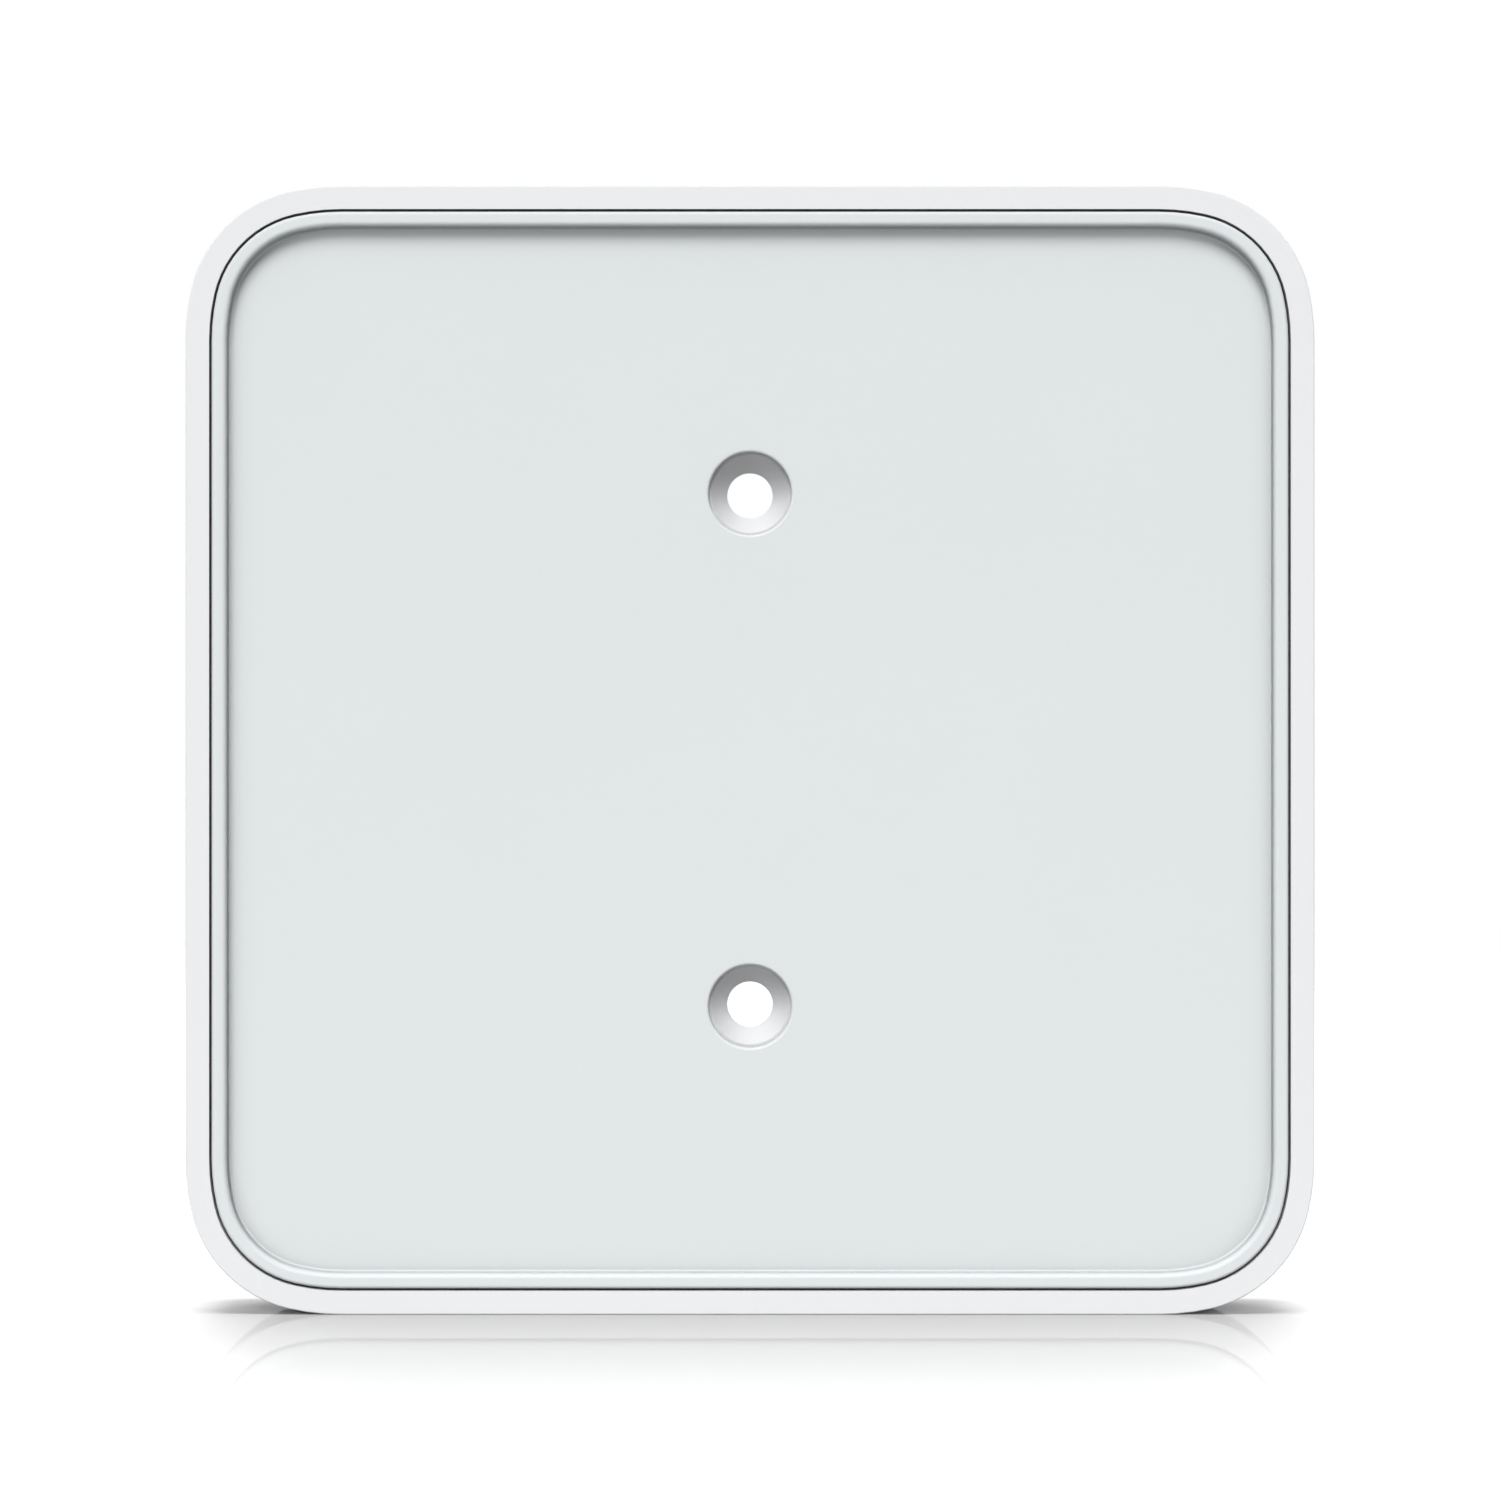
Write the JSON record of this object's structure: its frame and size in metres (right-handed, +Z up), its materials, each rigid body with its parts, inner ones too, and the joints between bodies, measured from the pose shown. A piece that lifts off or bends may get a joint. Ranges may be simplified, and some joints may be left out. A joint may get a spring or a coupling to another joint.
{
  "type": "ceiling access point mounting base",
  "caption": "Low square mounting base with rounded corners: a white rimmed frame, a recessed light grey docking tray, countersunk wall screw holes, and magnets behind the tray.",
  "frame": {"origin": "middle of the back, on the wall plane", "axes": "+Y into the wall or ceiling, -Y out of the docking face, +Z up along the line of the wall screws"},
  "size_m": [0.11, 0.009, 0.11],
  "materials": {
    "white_plastic": "fine satin moulding, neutral white",
    "grey_plastic": "fine satin moulding, cool light grey",
    "black_rubber": "matt moulded rubber",
    "grey_foam": "closed-cell foam",
    "pad_rubber": "matt moulded rubber",
    "magnet_nickel": "nickel plating",
    "keeper_steel": "zinc-plated stamped steel",
    "screw_steel": "zinc-plated steel"
  },
  "bodies": {
    "base": {"base_frame": "white_plastic", "magnet_upper_right_side": "magnet_nickel", "magnet_upper_right_end": "magnet_nickel", "magnet_upper_left_side": "magnet_nickel", "magnet_upper_left_end": "magnet_nickel", "magnet_lower_left_side": "magnet_nickel", "magnet_lower_left_end": "magnet_nickel", "magnet_lower_right_side": "magnet_nickel", "magnet_lower_right_end": "magnet_nickel", "keeper_upper_right": "keeper_steel", "keeper_upper_left": "keeper_steel", "keeper_lower_left": "keeper_steel", "keeper_lower_right": "keeper_steel", "keeper_screws": "screw_steel", "wall_gasket": "grey_foam", "wall_pad_upper_right": "pad_rubber", "wall_pad_upper_left": "pad_rubber", "wall_pad_lower_left": "pad_rubber", "wall_pad_lower_right": "pad_rubber"},
    "tray": {"dock_tray": "grey_plastic", "tray_seal": "black_rubber"}
  },
  "joints": [
    {"name": "tray_lift_out", "type": "slide", "parent": "base", "child": "tray", "axis": [0, -1, 0], "range_m": [0, 0.02]}
  ]
}
